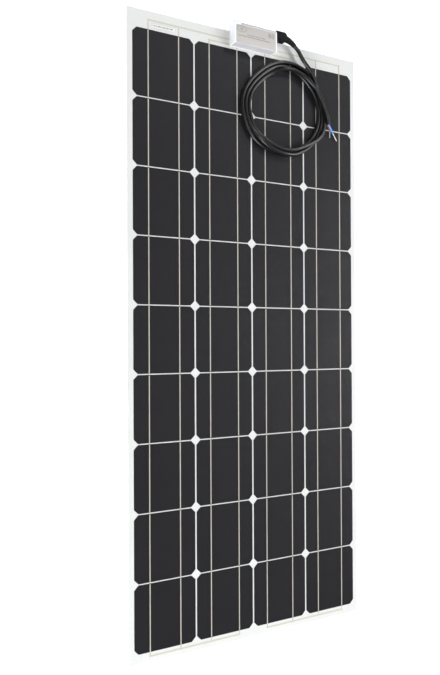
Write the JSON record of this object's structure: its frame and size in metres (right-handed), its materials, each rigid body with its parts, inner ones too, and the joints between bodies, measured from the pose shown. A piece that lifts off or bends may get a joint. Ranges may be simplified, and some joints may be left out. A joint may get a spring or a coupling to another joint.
{
  "type": "flexible solar sheet",
  "caption": "Thin flexible solar sheet of square cells with trimmed corners, an edge junction box and a coiled lead with bare cores.",
  "frame": {"origin": "middle of the underside of the laminated sheet, on the face that is bonded down", "axes": "+Z out of the sunny face; +Y along the sheet's length, towards the end with the junction box; +X across the width, towards the lead's side"},
  "size_m": [0.53, 1.2103, 0.0228],
  "materials": {
    "backing": "smooth white polyester",
    "encapsulant": "clear, over the white backing",
    "film": "clear satin film",
    "solar_cell": "dark textured silicon with fine finger lines",
    "ribbon": "tinned copper, dull",
    "printed_label": "thin printed label",
    "sealant": "cured silicone",
    "box_body": "satin anodised",
    "box_cap": "moulded, satin",
    "box_plate": null,
    "potting": "cured potting compound",
    "board": "solder-masked board",
    "clip": "tinned brass",
    "diode": "moulded epoxy",
    "boot": "matte moulded rubber",
    "sheath": "smooth rubber sheath, satin",
    "core_blue": "smooth core insulation",
    "core_brown": "smooth core insulation",
    "tinned_copper": "tinned strands"
  },
  "bodies": {
    "root": {"back_sheet": "backing", "rear_encapsulant": "encapsulant", "front_encapsulant": "encapsulant", "front_film": "film", "cell_r1_c1": "solar_cell", "cell_r1_c2": "solar_cell", "cell_r1_c3": "solar_cell", "cell_r1_c4": "solar_cell", "cell_r2_c1": "solar_cell", "cell_r2_c2": "solar_cell", "cell_r2_c3": "solar_cell", "cell_r2_c4": "solar_cell", "cell_r3_c1": "solar_cell", "cell_r3_c2": "solar_cell", "cell_r3_c3": "solar_cell", "cell_r3_c4": "solar_cell", "cell_r4_c1": "solar_cell", "cell_r4_c2": "solar_cell", "cell_r4_c3": "solar_cell", "cell_r4_c4": "solar_cell", "cell_r5_c1": "solar_cell", "cell_r5_c2": "solar_cell", "cell_r5_c3": "solar_cell", "cell_r5_c4": "solar_cell", "cell_r6_c1": "solar_cell", "cell_r6_c2": "solar_cell", "cell_r6_c3": "solar_cell", "cell_r6_c4": "solar_cell", "cell_r7_c1": "solar_cell", "cell_r7_c2": "solar_cell", "cell_r7_c3": "solar_cell", "cell_r7_c4": "solar_cell", "cell_r8_c1": "solar_cell", "cell_r8_c2": "solar_cell", "cell_r8_c3": "solar_cell", "cell_r8_c4": "solar_cell", "cell_r9_c1": "solar_cell", "cell_r9_c2": "solar_cell", "cell_r9_c3": "solar_cell", "cell_r9_c4": "solar_cell", "cell_ribbons": "ribbon", "bus_ribbons": "ribbon", "serial_label": "printed_label", "box_adhesive": "sealant", "box_housing": "box_body", "box_left_cap": "box_cap", "box_right_cap": "box_cap", "box_label": "box_plate", "potting": "potting", "terminal_board": "board", "terminal_clips": "clip", "bypass_diodes": "diode", "cable_boot": "boot", "cable_lead": "sheath", "cable_coil": "sheath", "cable_tail": "sheath", "core_blue": "core_blue", "core_brown": "core_brown", "core_ends": "tinned_copper"}
  },
  "joints": []
}
